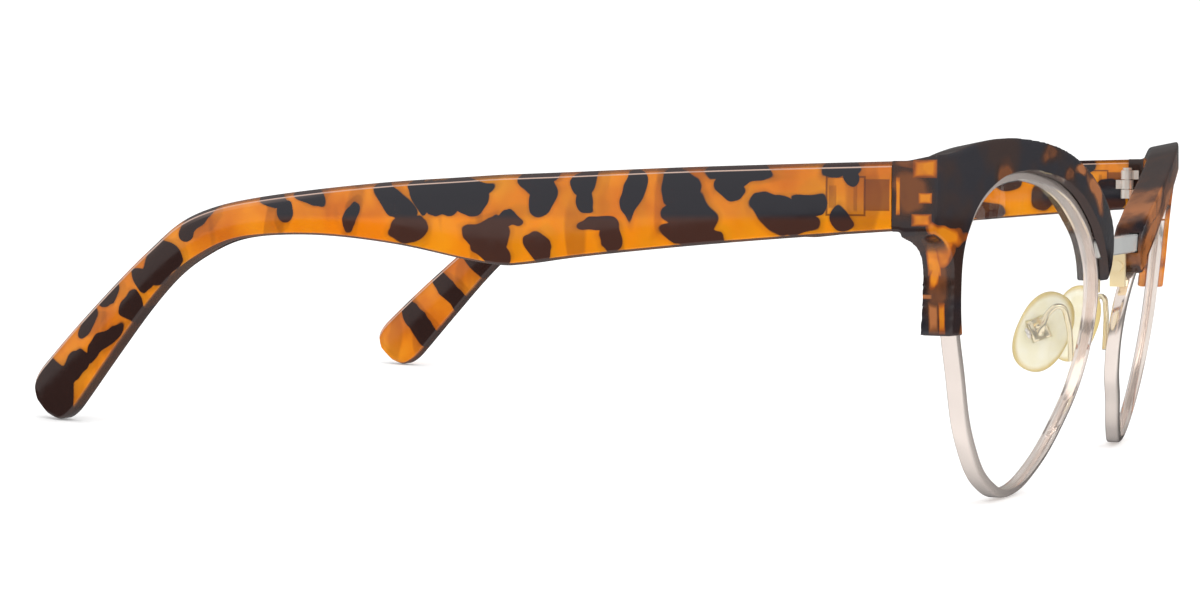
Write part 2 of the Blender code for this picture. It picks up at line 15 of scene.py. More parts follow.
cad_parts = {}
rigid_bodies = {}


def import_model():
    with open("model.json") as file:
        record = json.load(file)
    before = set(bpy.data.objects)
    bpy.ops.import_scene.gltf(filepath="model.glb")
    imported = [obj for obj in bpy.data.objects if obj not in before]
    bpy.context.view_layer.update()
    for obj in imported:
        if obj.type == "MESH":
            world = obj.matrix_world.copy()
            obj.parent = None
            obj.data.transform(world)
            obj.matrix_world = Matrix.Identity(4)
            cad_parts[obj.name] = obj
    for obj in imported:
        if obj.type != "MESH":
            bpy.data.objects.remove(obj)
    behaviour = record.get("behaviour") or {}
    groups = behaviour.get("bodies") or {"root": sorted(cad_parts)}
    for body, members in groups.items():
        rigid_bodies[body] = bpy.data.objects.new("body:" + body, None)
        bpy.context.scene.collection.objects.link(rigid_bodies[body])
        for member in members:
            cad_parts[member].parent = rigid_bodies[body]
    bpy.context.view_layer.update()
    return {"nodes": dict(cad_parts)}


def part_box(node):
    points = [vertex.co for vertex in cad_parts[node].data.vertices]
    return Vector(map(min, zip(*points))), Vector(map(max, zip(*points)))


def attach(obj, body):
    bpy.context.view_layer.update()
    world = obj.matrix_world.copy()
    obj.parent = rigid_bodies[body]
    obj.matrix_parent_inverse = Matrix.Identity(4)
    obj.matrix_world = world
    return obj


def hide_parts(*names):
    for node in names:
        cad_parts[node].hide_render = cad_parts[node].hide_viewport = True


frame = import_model()
nodes = frame["nodes"]
scene = bpy.context.scene
MM = 0.001
SIDES = (("right", -1), ("left", 1))

# The bridge's bar: its front face and its mid height fix the datum.
BRIDGE_FRONT = -1.9
BRIDGE_Z = -10.0
BRIDGE_HALF = 1.3
bridge_low, bridge_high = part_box("bridge")
bridge_middle = (bridge_low[2] + bridge_high[2]) / 2
DATUM = Vector((0, bridge_low[1] - BRIDGE_FRONT * MM, bridge_middle - BRIDGE_Z * MM))

# Lens plane: its middle, its wrap and its lean
LENS_U = 37.2
LENS_Z = -20.2
LENS_Y = 0.6
WRAP = math.radians(7.5)
TILT = math.radians(8.8)
BASE_CURVE = 132.0

# Rim, split at its lock, and the lens in its V groove
RIM_WIDTH = 1.1
RIM_DEPTH = 2.0
RIM_ROUND = 0.35
RIM_BREAK = 0.08
RIM_STEPS = 14
GROOVE = 0.65
SPLIT_Z = -7.9
SPLIT_GAP = 0.3
LENS_THICK = 1.4

# Brow
FIT_GAP = 0.15
BROW_REAR = 3.45
BROW_THINNING = 0.4
BROW_OVERLAP = 0.3
BROW_SLOPE = 0.2
BROW_VOXEL = 0.16
POLISH_ROUNDS = 24
DROP_BOTTOM = -19.1
OPENING_CORNER = Vector((60.5, -5.0))
CUT_DEPTH = 1.6
LUG_Y = 0.7
LUG_Z = -13.4

# End piece and temple
OUTER_U = 68.2
INNER_U = 64.0
BUTT_Y = 11.15
BUTT_GAP = 0.1
TOE_IN = math.radians(6.08)
TIP_Y = 148.5
TEMPLE_THICK = 4.2
TIP_THICK = 3.2
STATIONS = 150
CHAMFER = 0.65
LOWER_SHARE = 0.55
CROWN = 0.14

# Hinge: its leaves lie in the acetate between LEAF_NEAR_U and LEAF_FAR_U
HINGE_U = 62.9
HINGE_Y = BUTT_Y + BUTT_GAP / 2
HINGE_Z = -2.1
PIN_BORE = 0.5
KNUCKLE_RADIUS = 1.05
KNUCKLE_H = 1.5
LEAF_HALF = 2.3
LEAF_NEAR_U = INNER_U + 0.15
LEAF_FAR_U = INNER_U + 0.75
RIVET_Y = 7.0
RIVET_SPREAD = 1.3

# Nose pad
PAD_POINT = Vector((11.3, 7.4, -21.6))
PAD_AXIS = Vector((0.28, 0.88, -0.36)).normalized()
PAD_NORMAL = Vector((-0.94, 0.30, 0.0))
PAD_LENGTH = 11.8
PAD_WIDTH = 7.4
PAD_THICK = 1.7
PAD_SLANT = math.radians(45)
PAD_OFFSET = Vector((-0.5, 0.7, 1.9))
PAD_BACK = PAD_OFFSET.z - PAD_THICK / 2
CUP_HALF = Vector((1.3, 1.5))
SEAT_GAP = 0.15
PAD_BORE = 0.5
WIRE_RADIUS = 0.42
EYE_RADIUS = 0.85
EYE_HALF = 0.48

# Outlines as (u, z); a third item marks a sharp corner.
RIM_OUTLINE = (
    (61.8, -12.9), (60.5, -5.9), (55.9, -1.0), (48.9, 0.8), (41.5, 0.4), (34.3, -1.0),
    (26.0, -4.2), (17.3, -9.2), (11.2, -14.9), (9.1, -21.5), (11.2, -28.3), (17.2, -34.3),
    (24.7, -39.6), (33.0, -42.2), (41.8, -40.5), (50.6, -34.6), (57.2, -25.4))

BROW_OUTLINE = (
    (62.8, DROP_BOTTOM, 1), (63.4, -14.0), (64.1, -10.2), (65.6, -7.9), (OUTER_U - 0.1, -6.5, 1),
    (OUTER_U - 0.1, 2.9, 1), (64.5, 3.2), (61.3, 4.0), (57.3, 4.7), (52.0, 5.0), (46.5, 4.8),
    (40.5, 4.2), (34.8, 3.2), (29.7, 1.8), (23.5, -0.4), (18.3, -2.6), (13.5, -5.2), (10.3, -7.8),
    (9.1, -10.0), (9.2, -12.4), (10.9, -14.2), (13.4, -15.0, 1), (24.0, -8.0), (40.0, -4.0),
    (53.5, -4.5), (57.0, -10.0), (56.0, DROP_BOTTOM, 1))

# The temple's ribs from the hinge to the tip: its top edge and its bottom edge, as (y, z).
TEMPLE_RIBS = (
    ((BUTT_Y + BUTT_GAP, 2.1), (BUTT_Y + BUTT_GAP, -6.3)),
    ((25.0, 1.75), (25.0, -7.35)),
    ((40.0, 1.3), (40.0, -8.7)),
    ((55.0, 0.7), (55.0, -10.3)),
    ((63.0, 0.4), (63.0, -11.4)),
    ((67.0, 0.25), (66.6, -11.6)),
    ((73.0, -0.1), (72.0, -11.0)),
    ((84.0, -0.75), (83.0, -9.2)),
    ((96.0, -1.8), (94.5, -8.2)),
    ((107.0, -3.1), (104.0, -8.3)),
    ((114.5, -4.5), (111.0, -9.15)),
    ((120.5, -6.7), (116.8, -11.4)),
    ((126.0, -10.5), (122.0, -14.6)),
    ((132.0, -15.2), (127.5, -19.7)),
    ((139.5, -21.6), (134.2, -27.1)),
    ((145.2, -26.8), (139.2, -32.8)),
    ((147.6, -29.2), (141.4, -35.1)),
    ((148.5, -31.0), (143.4, -36.1)),
    ((148.2, -32.7), (145.4, -35.5)))


def front_y(u, z):
    """Depth of the rim's front edge on the wrapped, leaning, base-curved lens plane."""
    du = u - LENS_U
    dz = z - LENS_Z
    return LENS_Y + math.tan(WRAP) * du - math.tan(TILT) * dz + (du * du + dz * dz) / (2 * BASE_CURVE)


def brow_lip(u):
    """How far the brow's front face stands ahead of the rim: more towards the nose."""
    return 1.0 + 0.3 * min(max((61.0 - u) / 50.0, 0.0), 1.0)


def pad_frame():
    """The pad screw's axis, the way across it and the way to the nose, at the pad's centre."""
    normal = (PAD_NORMAL - PAD_AXIS * PAD_NORMAL.dot(PAD_AXIS)).normalized()
    across = normal.cross(PAD_AXIS)
    return Matrix.Translation(PAD_POINT) @ Matrix((PAD_AXIS, across, normal)).transposed().to_4x4()


# ---------------------------------------------------------------- modelling helpers

# Pieces and cutting tools are made here; the scene gets copies, and this is emptied at the end.
workshop = bpy.data.collections.new("workshop")
scene.collection.children.link(workshop)


def mesh_object(name, bm):
    bmesh.ops.recalc_face_normals(bm, faces=bm.faces)
    mesh = bpy.data.meshes.new(name)
    bm.to_mesh(mesh)
    bm.free()
    obj = bpy.data.objects.new(name, mesh)
    workshop.objects.link(obj)
    return obj


def evaluated_mesh(obj):
    bpy.context.view_layer.update()
    graph = bpy.context.evaluated_depsgraph_get()
    return bpy.data.meshes.new_from_object(obj.evaluated_get(graph), depsgraph=graph)


def settle(obj):
    """Applies the object's modifiers, or turns a curve into a welded mesh."""
    mesh = evaluated_mesh(obj)
    bm = bmesh.new()
    bm.from_mesh(mesh)
    bmesh.ops.remove_doubles(bm, verts=bm.verts, dist=0.0001)
    name = obj.name
    bpy.data.objects.remove(obj)
    return mesh_object(name, bm)


def bezier(name, points, steps):
    """A 2D curve through (a, b) points; a third item marks a sharp corner."""
    data = bpy.data.curves.new(name, "CURVE")
    data.dimensions = "2D"
    data.resolution_u = steps
    spline = data.splines.new("BEZIER")
    spline.bezier_points.add(len(points) - 1)
    spline.use_cyclic_u = True
    for knot, point in zip(spline.bezier_points, points):
        knot.co = (point[0], point[1], 0)
        handle = "VECTOR" if len(point) > 2 else "AUTO"
        knot.handle_left_type = handle
        knot.handle_right_type = handle
    obj = bpy.data.objects.new(name, data)
    workshop.objects.link(obj)
    return obj


def prism(name, points, steps=8, offset=0.0):
    """A solid through the (u, z) outline, 60 mm deep."""
    obj = bezier(name, points, steps)
    obj.data.fill_mode = "BOTH"
    obj.data.extrude = 30.0
    obj.data.offset = offset
    obj = settle(obj)
    obj.data.transform(Matrix.Rotation(math.radians(90), 4, "X"))
    return obj


def box(name, low, high):
    bm = bmesh.new()
    bmesh.ops.create_cube(bm, size=1.0)
    low = Vector(low)
    size = Vector(high) - low
    for vertex in bm.verts:
        vertex.co = Vector(low[i] + (vertex.co[i] + 0.5) * size[i] for i in range(3))
    return mesh_object(name, bm)


def cylinder(name, start, end, radius, sides=32):
    start = Vector(start)
    end = Vector(end)
    bm = bmesh.new()
    bmesh.ops.create_cone(bm, cap_ends=True, segments=sides, radius1=radius, radius2=radius,
                          depth=(end - start).length)
    turn = (end - start).to_track_quat("Z", "Y").to_matrix().to_4x4()
    bmesh.ops.transform(bm, matrix=Matrix.Translation((start + end) / 2) @ turn, verts=bm.verts)
    return mesh_object(name, bm)


def combine(obj, others, operation, solver="MANIFOLD"):
    for other in others:
        modifier = obj.modifiers.new(other.name, "BOOLEAN")
        modifier.operation = operation
        modifier.solver = solver
        modifier.object = other
    return obj


def loft(name, rings, caps=True):
    """Skins closed rings of equal length; caps close the first and the last ring."""
    bm = bmesh.new()
    made = [[bm.verts.new(p) for p in ring] for ring in rings]
    count = len(rings[0])
    for ring, following in zip(made, made[1:]):
        for i in range(count):
            j = (i + 1) % count
            bm.faces.new((ring[i], ring[j], following[j], following[i]))
    if caps:
        bm.faces.new(made[0])
        bm.faces.new(list(reversed(made[-1])))
    return mesh_object(name, bm)


def outline_loop(points, steps):
    obj = bezier("loop", points, steps)
    mesh = evaluated_mesh(obj)
    loop = [Vector(vertex.co[:2]) for vertex in mesh.vertices]
    bpy.data.objects.remove(obj)
    return loop


def inset(loop, distance):
    """The closed loop moved inwards along its normals."""
    centre = sum(loop, Vector((0, 0))) / len(loop)
    moved = []
    for i, point in enumerate(loop):
        along = (loop[(i + 1) % len(loop)] - loop[i - 1]).normalized()
        normal = Vector((-along.y, along.x))
        if normal.dot(centre - point) < 0:
            normal = -normal
        moved.append(point + normal * distance)
    return moved


def on_lens_plane(points, depth):
    return [Vector((p.x, front_y(p.x, p.y) + depth, p.y)) for p in points]


def closed_ring(name, rings):
    """Skins rings into a ring-shaped solid; the last ring repeats the first."""
    obj = loft(name, rings, caps=False)
    bm = bmesh.new()
    bm.from_mesh(obj.data)
    bmesh.ops.remove_doubles(bm, verts=bm.verts, dist=0.0001)
    bmesh.ops.recalc_face_normals(bm, faces=bm.faces)
    bm.to_mesh(obj.data)
    bm.free()
    return obj


def ring_sweep(name, loop, section):
    """Sweeps (inset, depth) section points round the loop, on the lens plane."""
    rings = [on_lens_plane(inset(loop, inwards), depth) for inwards, depth in section]
    return closed_ring(name, rings + rings[:1])


def catmull_rom(points, share):
    """The point at share (0 to 1) along the smooth line through the points."""
    last = len(points) - 1
    place = share * last
    i = min(int(place), last - 1)
    t = place - i
    a = points[max(i - 1, 0)]
    b = points[i]
    c = points[i + 1]
    d = points[min(i + 2, last)]
    return 0.5 * (2 * b + (c - a) * t + (2 * a - 5 * b + 4 * c - d) * t * t
                  + (3 * b - a - 3 * c + d) * t ** 3)


# ---------------------------------------------------------------- placing

def place(piece, base, finish, side_name, side, body, slot, sharp):
    """Puts a copy of the workshop piece on one side of the frame, riding on its body."""
    name = base + "_look_" + side_name
    mesh = evaluated_mesh(piece)
    mesh.name = name
    mesh.transform(Matrix.Diagonal((side * MM, MM, MM, 1)))
    mesh.transform(Matrix.Translation(DATUM))
    if side < 0:
        mesh.flip_normals()
    mesh.materials.clear()
    mesh.materials.append(finish)
    mesh.shade_smooth()
    mesh.set_sharp_from_angle(angle=math.radians(sharp))
    obj = bpy.data.objects.new(name, mesh)
    scene.collection.objects.link(obj)
    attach(obj, body)
    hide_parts(base + "_" + side_name)


# ---------------------------------------------------------------- materials

class Nodes:
    """A node tree with short calls for the nodes that a pattern needs."""

    def __init__(self, tree):
        self.tree = tree

    def node(self, kind, **settings):
        made = self.tree.nodes.new(kind)
        for key, value in settings.items():
            setattr(made, key, value)
        return made

    def feed(self, socket, value):
        if isinstance(value, bpy.types.NodeSocket):
            self.tree.links.new(value, socket)
        else:
            socket.default_value = value

    def math(self, operation, a, b=0.0, c=0.0):
        made = self.node("ShaderNodeMath", operation=operation)
        for socket, value in zip(made.inputs, (a, b, c)):
            self.feed(socket, value)
        return made.outputs[0]

    def times(self, a, b):
        return self.math("MULTIPLY", a, b)

    def vector(self, operation, a, b=(0, 0, 0)):
        made = self.node("ShaderNodeVectorMath", operation=operation)
        self.feed(made.inputs[0], a)
        self.feed(made.inputs[1], b)
        return made.outputs["Value" if operation == "LENGTH" else "Vector"]

    def split(self, vector):
        made = self.node("ShaderNodeSeparateXYZ")
        self.feed(made.inputs[0], vector)
        return tuple(made.outputs)

    def noise(self, where, scale, detail=2.0, output="Fac"):
        made = self.node("ShaderNodeTexNoise")
        self.feed(made.inputs["Vector"], where)
        made.inputs["Scale"].default_value = scale
        made.inputs["Detail"].default_value = detail
        return made.outputs[output]

    def ramp(self, value, places, colours):
        made = self.node("ShaderNodeValToRGB")
        elements = made.color_ramp.elements
        while len(elements) < len(places):
            elements.new(0.5)
        for element, place_on_ramp, colour in zip(elements, places, colours):
            element.position = place_on_ramp
            element.color = (*colour, 1)
        self.feed(made.inputs[0], value)
        return made.outputs["Color"]

    def mix(self, factor, a, b):
        made = self.node("ShaderNodeMix", data_type="RGBA")
        self.feed(made.inputs["Factor"], factor)
        self.feed(made.inputs[6], (*a, 1) if isinstance(a, tuple) else a)
        self.feed(made.inputs[7], (*b, 1) if isinstance(b, tuple) else b)
        return made.outputs[2]

    def remap(self, value, low, high, to_low=0.0, to_high=1.0, kind="SMOOTHSTEP"):
        made = self.node("ShaderNodeMapRange", interpolation_type=kind)
        settings = (value, low, high, to_low, to_high)
        for socket, setting in zip(made.inputs, settings):
            self.feed(socket, setting)
        return made.outputs[0]


class Shader(Nodes):
    """A material whose pattern feeds one Principled shader."""

    def __init__(self, name):
        self.material = bpy.data.materials.new(name)
        self.material.use_nodes = True
        super().__init__(self.material.node_tree)
        self.principled = self.tree.nodes["Principled BSDF"]

    def set(self, **inputs):
        for key, value in inputs.items():
            self.feed(self.principled.inputs[key.replace("_", " ")], value)

    def millimetres(self):
        """Object coordinates in the drawing's millimetres."""
        position = self.node("ShaderNodeTexCoord").outputs["Object"]
        shifted = self.vector("SUBTRACT", position, tuple(DATUM))
        return self.vector("MULTIPLY", shifted, (1 / MM, 1 / MM, 1 / MM))


def in_view(plane, spots):
    return [(plane, *spot) for spot in spots]


def blots(shader, where, spots, still=None):
    """Distance to the nearest spot, 1 at its edge; blocks are measured from the still position.

    A spot is (a, b, half length, half width, degrees) in the plane of its view: "side" spots
    are drawn as (y, z) and run through the whole width, "front" spots as (u, z) and run
    through the whole depth.  A "block" is a "side" spot with straight edges.
    """
    through = 1000.0
    merge = 0.12
    nearest = None
    for plane, a, b, length, width, degrees in spots:
        if plane == "front":
            settings = ((a, 0, b), (0, -math.radians(degrees), 0), (length, through, width))
        else:
            settings = ((0, a, b), (math.radians(degrees), 0, 0), (through, length, width))
        made = shader.node("ShaderNodeMapping", vector_type="TEXTURE")
        shader.feed(made.inputs["Vector"], still if still and plane == "block" else where)
        for socket, setting in zip(("Location", "Rotation", "Scale"), settings):
            made.inputs[socket].default_value = setting
        if plane == "block":
            _, along, across = shader.split(shader.vector("ABSOLUTE", made.outputs["Vector"]))
            distance = shader.math("MAXIMUM", along, across)
        else:
            distance = shader.vector("LENGTH", made.outputs["Vector"])
        if nearest is None:
            nearest = distance
        else:
            nearest = shader.math("SMOOTH_MIN", nearest, distance, merge)
    return nearest


DARK_HAZY = (0.016, 0.015, 0.020)
# Painted glow: the dark blots painted lighter and warmer where light from below is painted in.
PAINTED_GLOW_DARK = (0.052, 0.020, 0.014)
DARK_TIP = (0.024, 0.010, 0.008)
BROWN = (0.30, 0.075, 0.012)
AMBER = ((0.66, 0.16, 0.008), (0.85, 0.26, 0.010), (0.94, 0.34, 0.016))
# Painted glow: brighter amber painted into the temple's lower part, as if lit from below.
PAINTED_GLOW_AMBER = ((0.92, 0.24, 0.003), (0.97, 0.30, 0.004), (1.0, 0.36, 0.006))
BROW_AMBER = ((0.30, 0.075, 0.014), (0.66, 0.17, 0.012), (0.92, 0.30, 0.012))
BROW_RUST = ((0.10, 0.036, 0.016), (0.21, 0.070, 0.022), (0.40, 0.14, 0.045))
BROW_VEIL = ((0.035, 0.016, 0.010), (0.085, 0.030, 0.014), (0.19, 0.060, 0.018))
BROW_SMOKE = (0.030, 0.016, 0.013)
# Painted shade on the acetate's top and bottom faces, and a painted highlight line on its upper edge.
PAINTED_EDGE_SHADE = (0.03, 0.010, 0.006)
PAINTED_EDGE_HIGHLIGHT = (0.80, 0.56, 0.46)
# Painted shade of the hinge seen through the clear sheet: its recess, its bars and the leaf's outline.
PAINTED_HINGE_SHADE = (0.20, 0.052, 0.014)
PAINTED_LEAF_EDGE_SHADE = (0.12, 0.030, 0.012)
ACETATE_IOR = 1.49


def stirred_place(shader, where, wobble):
    """The position pushed about by coarse and fine noise, for ragged blots."""
    for scale, amount in ((0.19, wobble), (0.55, wobble * 0.22)):
        push = shader.noise(where, scale, detail=0.0, output="Color")
        push = shader.vector("SUBTRACT", push, (0.5, 0.5, 0.5))
        where = shader.vector("ADD", where, shader.vector("MULTIPLY", push, (amount,) * 3))
    return where


def painted_edge_shade_and_highlight(shader, colour, low=0.45, high=0.8, line=0.0):
    """Painted shade on the sheet's top and bottom edges, where it is seen darker along the sheet,
    and a painted highlight line along the upper edge of its face."""
    _, _, rise = shader.split(shader.node("ShaderNodeTexCoord").outputs["Normal"])
    painted_top_shade = shader.times(shader.remap(rise, low, high), 0.75)
    painted_bottom_shade = shader.times(shader.remap(rise, -low * 0.6, -high * 0.8), 0.94)
    if line:
        painted_highlight = shader.times(shader.remap(rise, 0.10, 0.28), shader.remap(rise, 0.62, 0.44))
        colour = shader.mix(shader.times(painted_highlight, line), colour, PAINTED_EDGE_HIGHLIGHT)
    return shader.mix(shader.math("MAXIMUM", painted_top_shade, painted_bottom_shade), colour, PAINTED_EDGE_SHADE)


def polish_marks(shader, where):
    """The roughness of polished acetate, a little cloudy."""
    return shader.remap(shader.noise(where, 0.8, detail=4.0), 0.3, 0.7, 0.05, 0.10)


def painted_glow_share(shader, y, z):
    """1 where a glow of light from below is painted into the temple's lower part; 0 above and at the
    tip.

    The two parts meet at a line that falls gently from the hinge to the tip.
    """
    line = shader.math("MULTIPLY_ADD", y, -0.0125, -4.43)
    below = shader.math("SUBTRACT", line, z)
    return shader.times(shader.remap(below, -0.5, 0.6), shader.remap(y, 112.0, 98.0))


def painted_hinge_shade(shader, where, colour):
    """Painted shade of the hinge behind the clear sheet: the leaf's outline, its bars and its recess."""
    recess_shade, bars, leaf = [blots(shader, where, in_view("block", spots)) for spots in (
        ((13.1, -1.95, 1.62, 1.9, 0),),
        ((18.9, -2.2, 0.5, 1.35, 0), (15.9, -2.2, 0.25, 1.7, 0)),
        ((17.2, -2.1, 2.5, 2.3, 0),))]
    outline = shader.math("ABSOLUTE", shader.math("SUBTRACT", leaf, 1.0))
    for mask, share, tint in (
            (shader.remap(recess_shade, 1.04, 0.96), 0.80, PAINTED_HINGE_SHADE),
            (shader.remap(bars, 1.1, 0.9), 0.45, PAINTED_HINGE_SHADE),
            (shader.remap(outline, 0.075, 0.03), 0.75, PAINTED_LEAF_EDGE_SHADE)):
        colour = shader.mix(shader.times(mask, share), colour, tint)
    return colour


def temple_acetate(name, spots, wobble=3.6):
    """Polished acetate sheet with hard-edged dark blots in clear amber."""
    shader = Shader(name)
    where = shader.millimetres()
    _, y, z = shader.split(where)
    distance = blots(shader, stirred_place(shader, where, wobble), spots)
    dark = shader.remap(distance, 1.05, 0.96)
    halo = shader.remap(distance, 1.30, 1.0)
    # Painted glow: the temple's lower part is painted brighter and warmer, as if lit from below.
    painted_glow = painted_glow_share(shader, y, z)
    tip = shader.remap(y, 100.0, 124.0)
    clouds = shader.noise(where, 0.085, detail=3.0)
    levels = (0.36, 0.5, 0.64)
    amber = shader.mix(painted_glow, shader.ramp(clouds, levels, AMBER), shader.ramp(clouds, levels, PAINTED_GLOW_AMBER))
    veils = shader.noise(shader.vector("MULTIPLY", where, (0.2, 0.16, 0.05)), 1.0)
    veil = shader.times(shader.remap(veils, 0.54, 0.60), 0.45)
    amber = shader.mix(shader.times(halo, 0.30), shader.mix(veil, amber, BROWN), BROWN)
    # Painted shade of the hinge behind the sheet.
    amber = painted_hinge_shade(shader, where, amber)
    depth = shader.mix(tip, shader.mix(painted_glow, DARK_HAZY, PAINTED_GLOW_DARK), DARK_TIP)
    # The base colour gets the painted edge shade and the painted highlight line.
    shader.set(
        Base_Color=painted_edge_shade_and_highlight(shader, shader.mix(dark, amber, depth), line=0.75),
        Transmission_Weight=shader.remap(dark, 0.0, 1.0, 0.38, 0.04),
        Roughness=polish_marks(shader, where),
        IOR=ACETATE_IOR)
    return shader.material


def windows(shader, where, stirred, spots, colours, soft):
    """Soft-edged lighter windows: their mask and their mottled colour, brightest in the middle."""
    distance = blots(shader, stirred, spots, where)
    middle = shader.math("MULTIPLY_ADD", shader.remap(distance, 1.0, 0.5), 0.35, -0.15)
    level = shader.math("MULTIPLY_ADD", shader.noise(where, 0.35), 0.8, middle)
    mask = shader.remap(distance, 1.0 + soft, 1.0 - soft)
    return mask, shader.ramp(level, (0.22, 0.40, 0.60), colours)


def brow_acetate(name, rusty, clear, veiled, wobble=2.6, mirror=False):
    """Darker acetate with rust patches in the front and clear amber windows at the end."""
    shader = Shader(name)
    where = shader.millimetres()
    if mirror:
        where = shader.vector("MULTIPLY", where, (-1, 1, 1))
    stirred = stirred_place(shader, where, wobble)
    colour = shader.ramp(shader.noise(where, 0.16), (0.42, 0.62), (DARK_HAZY, BROW_SMOKE))
    clearness = 0.03
    for spots, colours, soft, clear_share in (
            (veiled, BROW_VEIL, 0.35, 0.30),
            (rusty, BROW_RUST, 0.14, 0.12),
            (clear, BROW_AMBER, 0.07, 0.40)):
        mask, tint = windows(shader, where, stirred, spots, colours, soft)
        colour = shader.mix(mask, colour, tint)
        clearness = shader.remap(mask, 0.0, 1.0, clearness, clear_share)
    # The base colour gets the painted shade on the top and bottom faces.
    shader.set(
        Base_Color=painted_edge_shade_and_highlight(shader, colour, 0.8, 0.97),
        Transmission_Weight=clearness,
        Roughness=polish_marks(shader, where),
        IOR=ACETATE_IOR)
    return shader.material


def metal(name, colour, roughness, metallic=0.9, grain=(3.0, 3.0, 3.0), contrast=0.06):
    """Plated metal with a faint cloudiness and fine polishing marks."""
    shader = Shader(name)
    where = shader.millimetres()
    marks = shader.noise(shader.vector("MULTIPLY", where, grain), 1.0, detail=3.0)
    clouds = shader.noise(where, 0.15)
    darker = tuple(c * (1 - contrast) for c in colour)
    shader.set(
        Base_Color=shader.mix(shader.remap(clouds, 0.3, 0.7), darker, colour),
        Metallic=metallic,
        Roughness=shader.remap(marks, 0.3, 0.7, roughness * 0.85, roughness * 1.15))
    return shader.material


def blend_with_clear(shader, share, tint):
    """Lets a share of the light straight through, and all light from the lamps."""
    tree = shader.tree
    path = shader.node("ShaderNodeLightPath")
    through = shader.node("ShaderNodeBsdfTransparent")
    through.inputs["Color"].default_value = (*tint, 1)
    choice = shader.node("ShaderNodeMixShader")
    shader.feed(choice.inputs[0], shader.math("MAXIMUM", path.outputs["Is Shadow Ray"], share))
    tree.links.new(shader.principled.outputs[0], choice.inputs[1])
    tree.links.new(through.outputs[0], choice.inputs[2])
    tree.links.new(choice.outputs[0], tree.nodes["Material Output"].inputs["Surface"])


def lens_material():
    """Clear demo lens with a faint coating tint and next to no reflection."""
    shader = Shader("lens_plastic")
    haze = shader.noise(shader.millimetres(), 0.1)
    shader.set(
        Base_Color=shader.mix(shader.remap(haze, 0.3, 0.7), (0.97, 0.985, 0.98), (0.985, 0.985, 0.99)),
        Roughness=shader.remap(haze, 0.3, 0.7, 0.01, 0.02),
        Transmission_Weight=1.0,
        IOR=1.1,
        Specular_IOR_Level=0.3)
    blend_with_clear(shader, 0.95, (0.998, 1.0, 0.999))
    return shader.material


def pad_material():
    """Cloudy cream silicone, deeper yellow towards its rolled edge."""
    shader = Shader("pad_silicone")
    x, y, z = shader.split(shader.millimetres())
    join = shader.node("ShaderNodeCombineXYZ")
    for socket, value in zip(join.inputs, (shader.math("ABSOLUTE", x), y, z)):
        shader.feed(socket, value)
    where = join.outputs[0]
    oval = pad_frame() @ Matrix.Translation(PAD_OFFSET) @ Matrix.Rotation(PAD_SLANT, 4, "Z")
    inside = shader.node("ShaderNodeMapping", vector_type="TEXTURE")
    shader.feed(inside.inputs["Vector"], where)
    inside.inputs["Location"].default_value = oval.translation
    inside.inputs["Rotation"].default_value = oval.to_euler()
    inside.inputs["Scale"].default_value = (PAD_LENGTH / 2, PAD_WIDTH / 2, 100.0)
    radius = shader.vector("LENGTH", inside.outputs["Vector"])
    cloud = shader.noise(where, 0.5)
    middle = shader.mix(shader.remap(cloud, 0.3, 0.7), (0.96, 0.91, 0.68), (1.0, 0.97, 0.82))
    shader.set(
        Base_Color=shader.mix(shader.remap(radius, 0.84, 1.0), middle, (0.76, 0.60, 0.26)),
        Transmission_Weight=0.22,
        Roughness=shader.remap(cloud, 0.3, 0.7, 0.16, 0.24),
        IOR=1.41)
    blend_with_clear(shader, 0.0, (0.96, 0.90, 0.66))
    return shader.material


# The right temple's blots follow the photo; the left one's are invented, except near its tip.
RIGHT_TEMPLE_SPOTS = in_view("side", (
    (18.2, 1.1, 2.7, 1.2, -12), (16.9, 0.1, 1.2, 1.2, 0), (31.5, 0.5, 5.0, 1.6, 0),
    (32.8, -1.3, 2.3, 1.4, 0), (25.8, -4.6, 4.8, 2.2, 12), (21.9, -2.9, 1.9, 1.5, 0),
    (17.8, -4.8, 1.6, 1.7, 0), (40.1, -0.9, 3.1, 2.4, 0), (38.6, -4.3, 3.2, 3.0, 0),
    (38.2, -7.7, 4.7, 1.9, 5), (46.5, -2.3, 1.5, 3.3, 0), (53.3, -0.7, 2.4, 1.7, 0),
    (52.9, -2.7, 1.6, 1.5, 0), (51.6, -5.9, 3.0, 1.1, 8), (50.6, -7.9, 2.1, 2.5, 0),
    (61.0, -0.3, 3.2, 1.7, 0), (59.7, -2.5, 2.0, 1.7, 0), (60.0, -8.6, 1.6, 2.5, 0),
    (68.4, -7.6, 4.1, 2.6, 0), (64.8, -5.8, 3.1, 1.0, -8), (67.6, -9.9, 2.8, 1.6, 0),
    (73.5, -1.5, 5.9, 1.6, 0), (76.2, -3.6, 2.9, 2.1, 0), (72.2, -2.7, 3.4, 1.6, 0),
    (83.4, -3.4, 3.1, 2.0, 20), (81.4, -7.2, 3.1, 2.6, 0), (79.4, -2.4, 1.2, 2.6, 0),
    (90.8, -5.3, 1.5, 2.8, 10), (97.4, -2.2, 3.3, 1.9, 0), (104.4, -3.8, 2.6, 1.2, 8),
    (102.2, -5.3, 1.5, 1.6, 0), (116.0, -5.6, 4.8, 1.3, -28), (119.0, -7.5, 1.6, 1.0, 0),
    (123.6, -12.4, 3.6, 3.0, -40), (126.2, -15.0, 2.4, 2.0, -40), (133.9, -17.5, 2.8, 1.6, -45),
    (129.0, -19.6, 2.3, 2.6, 0), (137.9, -21.8, 2.6, 1.4, -35), (134.6, -24.4, 4.4, 1.4, -42),
    (145.0, -32.4, 5.2, 4.0, -45), (140.6, -28.4, 3.8, 1.8, -35)))

